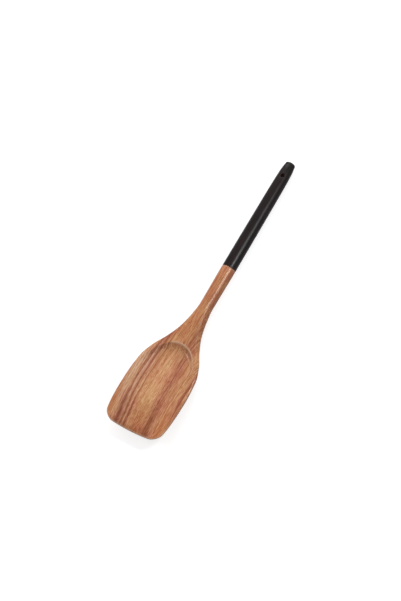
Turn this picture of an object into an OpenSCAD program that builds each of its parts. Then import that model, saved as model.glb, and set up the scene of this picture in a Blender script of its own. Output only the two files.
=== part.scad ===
// Wooden spatula: an acacia head with a scooped blade, doweled to a black handle.
// It lies face up on the table. The handle's end points to +X, the blade's tip to -X,
// +Z is up out of the scooped face, and the origin is under the middle of its length.

/* [Handle] */
// Length of the handle, from its rounded end to the joint
handle_l = 132; // [100:1:180]
// Width of the handle at the joint
handle_w = 15; // [13:0.5:20]
// Thickness of the handle at the joint
handle_t = 12.8; // [11.6:0.2:18]
// Length over which the handle's end is rounded
end_l = 3; // [2:0.5:6]
// Squareness of the rounded end, where 2 is a plain ellipse
end_power = 2.6; // [2:0.1:4]
// Diameter of the hanging hole
hole_d = 4.5; // [3:0.1:6]
// Distance of the hanging hole from the handle's end
hole_from_end = 18; // [12:0.5:30]
// Width of the eased rim of the hanging hole
hole_ease = 0.4; // [0.1:0.1:1]

/* [Head] */
// Length of the head, from the joint to the blade's tip
head_l = 198; // [175:1:250]
// Width of the neck at its slimmest
neck_w = 14.4; // [12:0.2:20]
// Thickness of the neck at its slimmest
neck_t = 12.4; // [11:0.2:18]
// Distance from the tip to the place where the neck begins to widen
neck_from_tip = 152; // [135:1:165]
// Greatest width of the blade
blade_w = 67.2; // [55:0.2:85]
// Distance from the tip to the blade's greatest width
widest_from_tip = 50; // [35:1:60]
// Width of the blade's tip, measured before its corners are rounded
tip_w = 59.2; // [50:0.2:66]
// Radius of the two corners of the tip
corner_r = 10.5; // [6:0.5:16]
// Bow of the tip's edge, from its corners to its middle
tip_bow = 1.5; // [0:0.1:4]

/* [Thicknesses and heights] */
// Thickness of the blade's side edges
edge_t = 5.2; // [3:0.1:8]
// Thickness of the tip's edge
tip_t = 1.8; // [1:0.1:3]
// Rise of the blade's rim above the handle's axis, at the tip
rim_rise = 11.3; // [6:0.1:16]
// Height of the crown of the shoulders above their edges
crown_h = 1.8; // [0:0.1:4]
// Depth planed off the back so that the spatula lies flat
heel_cut = 0.8; // [0.3:0.1:1.5]
// Rounding of the tip's edge
tip_ease = 0.8; // [0.3:0.1:1.4]

/* [Scoop] */
// Distance from the tip to the top of the scoop's curved rim
scoop_from_tip = 103; // [85:1:120]
// Depth of the scoop below its rim, at its deepest
scoop_depth = 4.2; // [2:0.1:6]
// Depth of the scoop below its rim, at the tip
tip_dish = 1.6; // [0.5:0.1:3]
// Length of the wall that falls from the curved rim to the scoop's floor
scoop_wall = 9; // [5:0.5:12]
// Rounding of the curved rim
rim_ease = 0.6; // [0.2:0.1:1]
// Length along which the scoop widens to the blade's edges
scoop_run = 40; // [25:1:50]

/* [Joint] */
// Diameter of the hidden dowel
dowel_d = 8; // [5:0.5:8.5]
// Length of the hidden dowel
dowel_l = 40; // [20:1:60]
// Gap for glue round the dowel
glue_gap = 0.05; // [0.05:0.01:0.15]
// Space left beyond each end of the dowel
dowel_end_gap = 0.5; // [0.3:0.1:1]
// Chamfer of the dowel's ends
dowel_chamfer = 0.8; // [0.4:0.1:1.2]
// Number of glue flutes round the dowel
flute_count = 12; // [6:1:16]
// Depth of each glue flute
flute_depth = 0.35; // [0.2:0.05:0.5]
// Rounding of both pieces where they meet
joint_ease = 0.5; // [0.2:0.1:1]

/* [Hidden] */

// Places along the spatula
overall_l = handle_l + head_l;
tip_x = -overall_l / 2;
tail_x = overall_l / 2;
joint_x = tip_x + head_l;
// Height of the handle's axis: the handle lies on the table at the joint
axis_h = handle_t / 2;

// Outline of the handle: [share of its length, share of its width]
handle_shares = [[0, 0.7], [0.023, 0.733], [0.06, 0.82], [0.1, 0.87], [0.15, 0.903],
    [0.24, 0.936], [0.45, 0.963], [1, 1]];
// Outline of a shoulder: [share of the way from the widest place to the neck, share of
// the way from the neck's width to the blade's]
shoulder_shares = [[0, 1], [0.245, 0.929], [0.392, 0.744], [0.539, 0.441], [0.706, 0.183],
    [0.853, 0.064], [1, 0]];
// Section of the board: [share of the way from the neck to the tip, share of the way from
// the edge's thickness to the neck's, share of the crown]
section_shares = [[0, 1, 0], [0.145, 0.72, 0.45], [0.31, 0.27, 1], [0.42, 0.08, 0.75],
    [0.55, 0, 0.25], [0.65, 0, 0], [1, 0, 0]];
// Scoop: [share of the way from its curved rim to the tip, share of its depth]
scoop_shares = [[0, 0.8], [0.08, 0.85], [0.2, 0.95], [0.45, 1], [1, 1]];
// Share of the half width that the scoop reaches, which leaves a narrow rim
rim_share = sin(75);
// Share of the scoop's run that its curved rim takes as a plain arc
arc_share = 0.22;
// Power that brings the scoop's rim round from the arc to the blade's edges
flare_power = 6;
// Power of the scoop's wall: the higher it is, the steeper the wall starts at the rim
wall_power = 2.6;
// Softness of the bend where the blade rises from the neck, as a share of its length
bend_share = 0.1;
// Power of the back's sweep from the heel up to the tip
sweep_power = 1.5;
// Power of the side curve between the tip and the widest place
side_power = 3;
// Share of the width left flat on the handle's end
end_flat_share = 0.3;
// Share of the tip's thickness left on its flat edge
nose_share = 0.35;
// Squareness of the section: the oval neck has 2, the blade's top and back edge have more
oval_power = 2;
top_power = 4;
back_power = 2.8;
// The edges are as square as that once the section is this many times flatter
flat_ratio = 6;

// Steps of the skin: round a quarter of the section, and in rows along the head
side_steps = 18;
ease_rows = 3;
neck_rows = 4;
shoulder_rows = 15;
wall_rows = 6;
blade_rows = 18;
corner_rows = 6;
// Steps along the handle's outline, which lie closer together towards its end
end_steps = 7;
grip_steps = 16;
grip_power = 1.5;
overrun = 1;

function mix(a, b, share) = a + (b - a) * share;
function clip(share) = max(0, min(1, share));
function soft(share) = let (c = clip(share)) c * c * (3 - 2 * c);

// Smooth curve through a table's rows that never overshoots and is level at both ends
function secant(table, i, column) =
    (table[i + 1][column] - table[i][column]) / (table[i + 1][0] - table[i][0]);
function tangent(table, i, column) =
    i == 0 || i == len(table) - 1 ? 0 :
    let (a = secant(table, i - 1, column), b = secant(table, i, column))
    a * b <= 0 ? 0 : 2 * a * b / (a + b);
function along(table, share, column = 1) =
    let (
        i = max([for (k = [0 : len(table) - 2]) if (k == 0 || share >= table[k][0]) k]),
        run = table[i + 1][0] - table[i][0],
        u = clip((share - table[i][0]) / run),
        v = 1 - u
    )
    table[i][column] * v * v * (1 + 2 * u) + table[i + 1][column] * u * u * (3 - 2 * u)
    + run * u * v * (v * tangent(table, i, column) - u * tangent(table, i + 1, column));

// Below, d is the distance from the tip's edge and s the share of the half width.
// Half width of the head
function corner_cut(d) = d >= corner_r ? 0 : corner_r - sqrt(corner_r ^ 2 - (corner_r - d) ^ 2);
function half_w(d) =
    (d > neck_from_tip ? mix(neck_w, handle_w, soft((d - neck_from_tip) / (head_l - neck_from_tip))) :
    d > widest_from_tip ? mix(neck_w, blade_w,
        along(shoulder_shares, (d - widest_from_tip) / (neck_from_tip - widest_from_tip))) :
    mix(tip_w, blade_w, 1 - (1 - d / widest_from_tip) ^ side_power)) / 2
    - corner_cut(d);

// Share of the way from the neck to the tip
function reach(d) = clip(1 - d / neck_from_tip);
// Height of the middle of the side edges
function edge_h(d) =
    let (r = reach(d), b = bend_share)
    axis_h + rim_rise * (sqrt(r * r + b * b) - b) / (sqrt(1 + b * b) - b);
// Half the thickness of the neck
function stem_half(d) =
    mix(neck_t, handle_t, soft((d - neck_from_tip) / (head_l - neck_from_tip))) / 2;
// Half the thickness of the side edges, which is half the neck where there is no blade
function edge_half(d) =
    let (blade = mix(tip_t, edge_t, soft(d / widest_from_tip)) / 2)
    mix(blade, stem_half(d), along(section_shares, reach(d), 1));
function crown(d) = crown_h * along(section_shares, reach(d), 2);
// Height of the back's middle before it is planed flat
function back_h(d) =
    let (
        tip = edge_h(0) - edge_half(0) - scoop(0, 0),
        neck = soft((neck_from_tip - d) / (neck_from_tip - scoop_from_tip))
    )
    d > scoop_from_tip ? mix(axis_h - stem_half(d), -heel_cut, neck) :
    mix(-heel_cut, tip, (1 - d / scoop_from_tip) ^ sweep_power);

// How many times flatter the section is than the handle's. Its edges are squarer with it.
function flatness(d) = half_w(d) / edge_half(d) / (handle_w / handle_t);
function edge_round(d, s, power) =
    let (f = max(1, flatness(d)), n = mix(oval_power, power, clip((f - 1) / flat_ratio)))
    edge_half(d) * max(0, 1 - s ^ (oval_power * f)) ^ (1 / n);
// Height of the board's top before it is scooped, and of its back
function board_top(d, s) = edge_h(d) + edge_round(d, s, top_power) + crown(d) * (1 - s * s);
function back(d, s) =
    let (belly = edge_h(d) - edge_half(d) - back_h(d))
    max(0, edge_h(d) - edge_round(d, s, back_power) - belly * (1 - s * s));

// Distance of the scoop's rim from the tip: an arc that comes round to the blade's edges
function rim_at(s) =
    let (r = min(1, s / rim_share))
    scoop_from_tip - scoop_run * (arc_share * r ^ 2 + (1 - arc_share) * r ^ flare_power);
// Length along the blade for each unit of length square to the rim
function rim_slant(d, s) =
    let (
        r = s / rim_share,
        flare = flare_power * (1 - arc_share) * r ^ (flare_power - 1),
        slope = scoop_run * (2 * arc_share * r + flare) / rim_share
    )
    sqrt(1 + (slope / half_w(d)) ^ 2);
// Depth of the scoop below the board's top: a bowl behind a wall with an eased rim
function scoop(d, s) =
    let (
        share = along(scoop_shares, clip(1 - d / scoop_from_tip)),
        deep = mix(tip_dish, scoop_depth * share, soft(d / widest_from_tip)) + crown(d),
        bowl = max(0, 1 - (s / rim_share) ^ 2),
        inside = (rim_at(s) - d) / rim_slant(d, s),
        eased = max(0, inside + rim_ease) ^ 2 / (4 * rim_ease),
        behind = clip((inside > rim_ease ? inside : eased) / scoop_wall)
    )
    deep * bowl * (1 - (1 - behind) ^ wall_power);
function face(d, s) = board_top(d, s) - scoop(d, s);

// Rows of the skin along one line of the head, from the joint to the tip. They close up
// on the scoop's rim, so that the rim stays a crisp edge.
function rows(s) =
    let (
        rim = rim_at(s),
        crest = rim_ease * rim_slant(rim, min(s, rim_share)),
        shoulder = head_l - joint_ease,
        wall_top = rim - crest
    )
    concat(
        [for (k = [0 : ease_rows]) head_l - joint_ease * (1 - cos(90 * k / ease_rows))],
        [for (k = [1 : neck_rows]) mix(shoulder, neck_from_tip, k / neck_rows)],
        [for (k = [1 : shoulder_rows]) mix(neck_from_tip, rim + crest, k / shoulder_rows)],
        [rim],
        [for (k = [0 : wall_rows]) wall_top - scoop_wall * (1 - cos(90 * k / wall_rows))],
        [for (k = [1 : blade_rows]) mix(wall_top - scoop_wall, corner_r, k / blade_rows)],
        [for (k = [1 : corner_rows]) corner_r * (1 - sin(90 * k / corner_rows))]
    );
// Share of the section's size left by the rounding at the joint
function joint_share(d) =
    let (x = clip(1 - (head_l - d) / joint_ease))
    1 - joint_ease * (1 - sqrt(1 - x * x)) / (handle_w / 2);
// Share of the thickness left by the rounding of the tip's edge
function tip_share(d) =
    let (x = clip(1 - d / tip_ease))
    mix(nose_share, 1, sqrt(1 - x * x));
function skin_point(d, s, side, upper) =
    let (
        top = face(d, s),
        low = back(d, s),
        middle = (top + low) / 2,
        eased = middle + ((upper ? top : low) - middle) * tip_share(d),
        shrink = joint_share(d),
        y = side * s * half_w(d)
    )
    [tip_x + d + tip_bow * (2 * y / tip_w) ^ 2 * clip(1 - d / widest_from_tip),
        y * shrink, mix(axis_h, eased, shrink)];

// Closed skin through rows of points. The rows run from +X to -X, and each goes over the
// face from the right edge to the left one and back under it.
function end_cap(around) =
    let (half = around / 2)
    [for (j = [0 : half - 1])
        let (a = j, b = j + 1, c = (around - j - 1) % around, d = (around - j) % around)
        each (j == 0 ? [[a, b, c]] : j == half - 1 ? [[a, b, d]] : [[a, b, c], [a, c, d]])];
module skin(points, around) {
    last = len(points) / around - 1;
    at = function (i, m) i * around + m % around;
    sides = [for (i = [0 : last - 1]) for (m = [0 : around - 1]) each [
        [at(i, m), at(i + 1, m), at(i + 1, m + 1)],
        [at(i, m), at(i + 1, m + 1), at(i, m + 1)]]];
    far_cap = [for (f = end_cap(around)) [for (k = [2 : -1 : 0]) at(last, 0) + f[k]]];
    polyhedron(points = points, faces = concat(end_cap(around), sides, far_cap), convexity = 6);
}

module head_skin() {
    n = side_steps;
    around = 4 * n;
    shares = [for (k = [0 : n]) sin(90 * k / n)];
    lines = [for (k = [0 : n]) rows(shares[k])];
    points = [for (i = [0 : len(lines[0]) - 1]) for (m = [0 : around - 1])
        let (upper = m <= 2 * n, j = upper ? m - n : 3 * n - m, k = abs(j))
        skin_point(lines[k][i], shares[k], sign(j), upper)];
    skin(points, around);
}

// Blind hole for half of the dowel, from the joint towards +X or -X
module dowel_hole(direction) {
    hole_l = dowel_l / 2 + dowel_end_gap;
    translate([joint_x - direction * overrun, 0, axis_h])
        rotate([0, 90 * direction, 0])
        cylinder(h = hole_l + overrun, r = dowel_d / 2 + glue_gap, $fn = 64);
}

module spatula_head() {
    color("#B5814F")
        difference() {
            head_skin();
            dowel_hole(-1);
        }
}

// Half width of the handle at a distance from its end
function grip_half(d) = handle_w / 2 * along(handle_shares, d / handle_l);
// Outline of the handle: [distance from its end, half width]
function handle_outline() = concat(
    [for (k = [0 : end_steps - 1])
        let (x = 1 - cos(90 * k / end_steps), round = (1 - (1 - x) ^ end_power) ^ (1 / end_power))
        [x * end_l, grip_half(end_l) * mix(end_flat_share, 1, round)]],
    [for (k = [0 : grip_steps])
        let (d = mix(end_l, handle_l - joint_ease, (k / grip_steps) ^ grip_power))
        [d, grip_half(d)]],
    [for (k = [1 : ease_rows])
        [handle_l - joint_ease * (1 - sin(90 * k / ease_rows)),
            handle_w / 2 - joint_ease * (1 - cos(90 * k / ease_rows))]]
);

// The handle's oval section is carried along its outline
module handle_skin() {
    around = 4 * side_steps;
    points = [for (p = handle_outline()) for (m = [0 : around - 1])
        let (a = 360 * m / around)
        [tail_x - p[0], -p[1] * cos(a), axis_h + p[1] * sin(a) * handle_t / handle_w]];
    skin(points, around);
}

module hanging_hole() {
    r = hole_d / 2;
    half = handle_t / handle_w * grip_half(hole_from_end);
    translate([tail_x - hole_from_end, 0, axis_h]) {
        cylinder(h = handle_t + 2 * overrun, r = r, center = true, $fn = 48);
        for (up = [0, 1])
            mirror([0, 0, up])
            translate([0, 0, half - hole_ease])
            cylinder(h = hole_ease + overrun, r1 = r, r2 = r + hole_ease + overrun, $fn = 48);
    }
}

module handle() {
    color("#2B2827")
        difference() {
            handle_skin();
            dowel_hole(1);
            hanging_hole();
        }
}

// Glue dowel with chamfered ends and straight flutes
module joint_dowel() {
    r = dowel_d / 2;
    color("#D9BC8C")
        translate([joint_x, 0, axis_h])
        rotate([0, 90, 0])
        difference() {
            union() {
                cylinder(h = dowel_l - 2 * dowel_chamfer, r = r, center = true, $fn = 64);
                for (up = [0, 1])
                    mirror([0, 0, up])
                    translate([0, 0, dowel_l / 2 - dowel_chamfer])
                    cylinder(h = dowel_chamfer, r1 = r, r2 = r - dowel_chamfer, $fn = 64);
            }
            for (k = [0 : flute_count - 1])
                rotate([0, 0, 360 * k / flute_count])
                translate([r, 0, 0])
                cylinder(h = dowel_l + 2 * overrun, r = flute_depth, center = true, $fn = 16);
        }
}

spatula_head();
handle();
joint_dowel();
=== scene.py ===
"""Looks of a wooden spatula: a scooped acacia head doweled to a black lacquered handle.

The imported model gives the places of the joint, the tip and the handle's end, and the
widths. Lengths of the spatula are in millimetres and become metres where a mesh is made.
On the head, d is the distance from the tip's edge, and s the share of the half width. On
the handle, d is the distance from its end.
"""
import logging
import math
from collections.abc import Mapping, Sequence
from dataclasses import dataclass
from enum import Enum
from itertools import chain

import bpy
import numpy as np
from mathutils import Matrix, Vector


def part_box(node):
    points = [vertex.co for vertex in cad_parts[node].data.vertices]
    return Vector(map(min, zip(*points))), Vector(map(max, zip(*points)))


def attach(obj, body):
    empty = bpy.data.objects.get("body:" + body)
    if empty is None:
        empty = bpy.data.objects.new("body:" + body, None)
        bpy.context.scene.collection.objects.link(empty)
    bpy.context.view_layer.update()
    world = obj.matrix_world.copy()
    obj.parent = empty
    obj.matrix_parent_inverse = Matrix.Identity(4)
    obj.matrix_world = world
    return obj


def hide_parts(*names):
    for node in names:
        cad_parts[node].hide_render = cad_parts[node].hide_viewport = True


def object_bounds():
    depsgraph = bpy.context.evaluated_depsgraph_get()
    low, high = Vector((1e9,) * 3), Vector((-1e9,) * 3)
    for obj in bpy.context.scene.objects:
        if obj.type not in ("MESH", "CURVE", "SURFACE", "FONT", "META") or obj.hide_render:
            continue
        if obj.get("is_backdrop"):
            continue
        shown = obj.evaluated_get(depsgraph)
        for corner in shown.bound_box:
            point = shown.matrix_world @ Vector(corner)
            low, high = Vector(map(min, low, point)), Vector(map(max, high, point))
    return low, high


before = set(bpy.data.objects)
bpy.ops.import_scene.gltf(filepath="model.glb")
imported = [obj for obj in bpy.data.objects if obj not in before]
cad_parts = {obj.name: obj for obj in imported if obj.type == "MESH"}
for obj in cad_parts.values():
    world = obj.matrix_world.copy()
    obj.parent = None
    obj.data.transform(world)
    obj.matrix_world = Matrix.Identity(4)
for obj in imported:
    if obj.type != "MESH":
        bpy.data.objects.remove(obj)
CAD_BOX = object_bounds()

Array = np.ndarray
Colour = tuple[float, float, float, float]
Setting = float | Sequence[float] | bpy.types.NodeSocket
Table = tuple[tuple[float, ...], ...]

LOG = logging.getLogger("spatula")
MM = 0.001
BODY = "root"
# Edges sharper than this stay crisp when a mesh is shaded smooth
CREASE = math.radians(50)
# Millimetres from the handle's end to the middle of the hanging hole
HOLE_FROM_END = 18.0
# Oil, lacquer and bare wood bend light alike
FINISH_IOR = 1.5
# Depth of the fibres and pores that a finish leaves open
GROOVE = 0.1 * MM
# Values between which nearly all of a noise lies
SPREAD = (0.3, 0.7)
# Inputs of the node that carries a value from one range to another
VALUE, FROM, TO, LOW, HIGH = range(5)
# Inputs of the node that lays one colour over another, and its output
SHARE, UNDER, OVER, LAID = 0, 6, 7, 2


class Op(Enum):
    """Sums that a material works out at each point."""

    ADD = "ADD"
    SUBTRACT = "SUBTRACT"
    MULTIPLY = "MULTIPLY"
    SCALE = "SCALE"
    ABSOLUTE = "ABSOLUTE"
    DISTANCE = "DISTANCE"


class Tint(Enum):
    """Ways in which one colour is laid over another."""

    OVER = "MIX"
    DARKEN = "MULTIPLY"
    SOFTEN = "SOFT_LIGHT"


def mix(a: float | Array, b: float | Array, share: float | Array) -> float | Array:
    """Value the given share of the way from a to b."""
    return a + (b - a) * share


def clip(share: float | Array) -> Array:
    """Share kept between 0 and 1."""
    return np.clip(share, 0, 1)


def soft(share: float | Array) -> Array:
    """Share eased so that it starts and ends level: 3c^2 - 2c^3 of the clipped share."""
    c = clip(share)
    return c * c * (3 - 2 * c)


def along(table: Sequence[tuple[float, ...]], share: Array, column: int = 1) -> Array:
    """Smooth curve through the rows of a table, level at both ends and never overshooting.

    Between two rows it is the cubic with the rows' values and slopes. A row's slope is the
    harmonic mean of the slopes beside it, and 0 where these differ in sign.

    Args:
        table: Rows that start with their place, in rising order.
        share: Places at which the curve is wanted.
        column: Column that holds the values.

    Returns:
        The curve's values, with the shape of share.
    """
    rows = np.asarray(table, float)
    place = rows[:, 0]
    value = rows[:, column]
    slope = np.diff(value) / np.diff(place)
    product = slope[:-1] * slope[1:]
    total = np.where(product > 0, slope[:-1] + slope[1:], 1)
    tangent = np.pad(np.where(product > 0, 2 * product / total, 0), 1)
    i = np.clip(np.searchsorted(place, share, side="right") - 1, 0, len(place) - 2)
    run = place[i + 1] - place[i]
    u = clip((share - place[i]) / run)
    v = 1 - u
    ends = value[i] * v * v * (1 + 2 * u) + value[i + 1] * u * u * (3 - 2 * u)
    return ends + run * u * v * (v * tangent[i] - u * tangent[i + 1])


def linear(code: str) -> Colour:
    """Linear colour of an sRGB hex code, by the sRGB transfer curve.

    Args:
        code: Hex code such as "#B5814F".

    Returns:
        Red, green, blue and an opacity of 1.
    """
    parts = np.array([int(code[i:i + 2], 16) for i in (1, 3, 5)]) / 255
    light = np.where(parts <= 0.04045, parts / 12.92, ((parts + 0.055) / 1.055) ** 2.4)
    return (*light.tolist(), 1.0)


def add_node(
    tree: bpy.types.NodeTree,
    kind: str,
    inputs: Mapping[str | int, Setting] | None = None,
    out: str | int = 0,
    stops: Sequence[tuple[float, float | Colour]] = (),
    **settings: object,
) -> bpy.types.NodeSocket:
    """Add a node with its settings and links.

    Args:
        tree: Node tree of the material or world.
        kind: Node type, without its ShaderNode prefix.
        inputs: Values or links by the input's name or number.
        out: Output that is wanted.
        stops: Places and values of a colour ramp or a float curve.
        settings: Attributes of the node. An Enum member gives its value.

    Returns:
        The wanted output, ready to be linked.
    """
    node = tree.nodes.new("ShaderNode" + kind)
    for name, value in settings.items():
        setattr(node, name, value.value if isinstance(value, Enum) else value)
    for key, value in (inputs or {}).items():
        if isinstance(value, bpy.types.NodeSocket):
            tree.links.new(value, node.inputs[key])
        else:
            node.inputs[key].default_value = value
    if kind == "ValToRGB":
        elements = node.color_ramp.elements
        while len(elements) < len(stops):
            elements.new(0.5)
        for element, (place, colour) in zip(elements, stops):
            element.position = place
            element.color = colour
    if kind == "FloatCurve":
        points = node.mapping.curves[0].points
        while len(points) < len(stops):
            points.new(0.5, 0.5)
        for point, place in zip(points, stops):
            point.location = place
        node.mapping.update()
    return node.outputs[out]


def new_material(name: str) -> tuple[bpy.types.Material, bpy.types.NodeTree]:
    """Empty material with a node tree.

    Args:
        name: Name of the material.

    Returns:
        The material and its tree.
    """
    material = bpy.data.materials.new(name)
    material.use_nodes = True
    material.node_tree.nodes.clear()
    return material, material.node_tree


def finish_surface(tree: bpy.types.NodeTree, inputs: Mapping[str | int, Setting]) -> None:
    """Close a material with one glossy, coloured surface.

    Args:
        tree: Node tree of the material.
        inputs: Values and links of the surface.
    """
    surface = add_node(tree, "BsdfPrincipled", inputs)
    output = tree.nodes.new("ShaderNodeOutputMaterial")
    tree.links.new(surface, output.inputs["Surface"])


def layered(
    tree: bpy.types.NodeTree,
    colour: Setting,
    layers: Sequence[tuple[Setting, Setting, Tint]],
) -> bpy.types.NodeSocket:
    """Colour with layers laid over it, one after another.

    Args:
        tree: Node tree of the material.
        colour: Colour of the ground.
        layers: Share, colour and way of each layer, the lowest first.

    Returns:
        The colour on top.
    """
    for share, over, tint in layers:
        colour = add_node(tree, "Mix", {SHARE: share, UNDER: colour, OVER: over}, LAID,
                          data_type="RGBA", blend_type=tint)
    return colour


def millimetres(tree: bpy.types.NodeTree) -> bpy.types.NodeSocket:
    """Place of each point on the object in millimetres."""
    place = add_node(tree, "TexCoord", out="Object")
    return add_node(tree, "VectorMath", {0: place, "Scale": 1 / MM}, operation=Op.SCALE)


def grid_faces(index: Array) -> list[list[int]]:
    """Faces between the rows of a grid that is closed round each row.

    Each face joins points j and j + 1 of two rows. Equal corners are dropped, so a row of
    one repeated point is a pole, and a row folded onto itself is a closed seam.

    Args:
        index: Point numbers, one row of the grid to a row.

    Returns:
        The faces, as lists of point numbers.
    """
    near, far = index[:-1], index[1:]
    corners = (near, np.roll(near, -1, 1), np.roll(far, -1, 1), far)
    quads = np.stack(corners, -1).reshape(-1, 4)
    double = quads == np.roll(quads, -1, 1)
    whole = quads[~double.any(1)].tolist()
    cut = quads[double.sum(1) == 1]
    triangles = cut[~double[double.sum(1) == 1]].reshape(-1, 3).tolist()
    return whole + triangles


def make_piece(
    name: str,
    points: Array,
    faces: list[list[int]],
    marks: Mapping[str, Array] | None = None,
) -> bpy.types.Object:
    """Smooth mesh object at the origin, without the points that no face uses.

    Args:
        name: Name of the piece.
        points: Its points in millimetres, one to a row.
        faces: Its faces, as lists of point numbers.
        marks: Values at the points that its material reads, by their name.

    Returns:
        The object, linked to the scene.
    """
    used = np.unique(np.fromiter(chain.from_iterable(faces), int))
    number = np.zeros(len(points), int)
    number[used] = np.arange(len(used))
    kept = [number[face].tolist() for face in faces]
    mesh = bpy.data.meshes.new(name)
    mesh.from_pydata((points[used] * MM).tolist(), [], kept)
    for mark, values in (marks or {}).items():
        layer = mesh.attributes.new(mark, "FLOAT", "POINT")
        layer.data.foreach_set("value", values.ravel()[used])
    mesh.validate()
    mesh.shade_smooth()
    mesh.set_sharp_from_angle(angle=CREASE)
    piece = bpy.data.objects.new(name, mesh)
    bpy.context.scene.collection.objects.link(piece)
    return piece


@dataclass(frozen=True)
class Places:
    """Places along the spatula, in millimetres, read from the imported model."""

    tip_x: float
    joint_x: float
    tail_x: float
    axis_h: float
    blade_w: float
    handle_w: float
    handle_t: float

    @classmethod
    def from_frame(cls) -> "Places":
        """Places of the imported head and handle.

        Returns:
            The places, from the boxes of the two nodes.
        """
        head_low, head_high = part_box("spatula_head")
        handle_low, handle_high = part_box("handle")
        return cls(
            tip_x=head_low.x / MM,
            joint_x=head_high.x / MM,
            tail_x=handle_high.x / MM,
            axis_h=(handle_low.z + handle_high.z) / 2 / MM,
            blade_w=(head_high.y - head_low.y) / MM,
            handle_w=(handle_high.y - handle_low.y) / MM,
            handle_t=(handle_high.z - handle_low.z) / MM,
        )

    @property
    def head_l(self) -> float:
        """Length of the head."""
        return self.joint_x - self.tip_x

    @property
    def handle_l(self) -> float:
        """Length of the handle."""
        return self.tail_x - self.joint_x

    @property
    def hole_x(self) -> float:
        """Place of the hanging hole's middle."""
        return self.tail_x - HOLE_FROM_END


@dataclass(frozen=True)
class Socket:
    """Blind round hole for half of the dowel."""

    dowel_d: float = 8.0
    dowel_l: float = 40.0
    glue_gap: float = 0.05
    end_gap: float = 0.5
    # Rows over the hole's end and over the end face, and along the hole
    ring_steps: int = 4
    wall_steps: int = 8

    @property
    def radius(self) -> float:
        """Radius of the hole: the dowel's and the glue's."""
        return self.dowel_d / 2 + self.glue_gap

    @property
    def depth(self) -> float:
        """Depth of the hole: half the dowel and the gap at its end."""
        return self.dowel_l / 2 + self.end_gap

    def rows(self, outline: Array, circle: Array, direction: int) -> Array:
        """Rows from the middle of the hole's end out to the piece's own end face.

        The end is a disc, the wall a cylinder and the end face a ring drawn from the
        circle to the outline. Each is a straight mix of two rows.

        Args:
            outline: Row of the piece's end face, square to X.
            circle: Unit circle in Y and Z, a point for each point of the outline.
            direction: 1 where the hole runs to +X, -1 where it runs to -X.

        Returns:
            The rows, from the pole to just before the outline.
        """
        centre = np.array([outline[0, 0], 0, outline[:, 2].mean()])
        rim = centre + self.radius * circle
        floor = rim + [direction * self.depth, 0, 0]
        pole = np.broadcast_to(floor.mean(0), floor.shape)
        inner = np.linspace(0, 1, self.ring_steps, endpoint=False)[:, None, None]
        down = np.linspace(0, 1, self.wall_steps, endpoint=False)[:, None, None]
        parts = (mix(pole, floor, inner), mix(floor, rim, down), mix(rim, outline, inner))
        return np.concatenate(parts)


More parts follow.
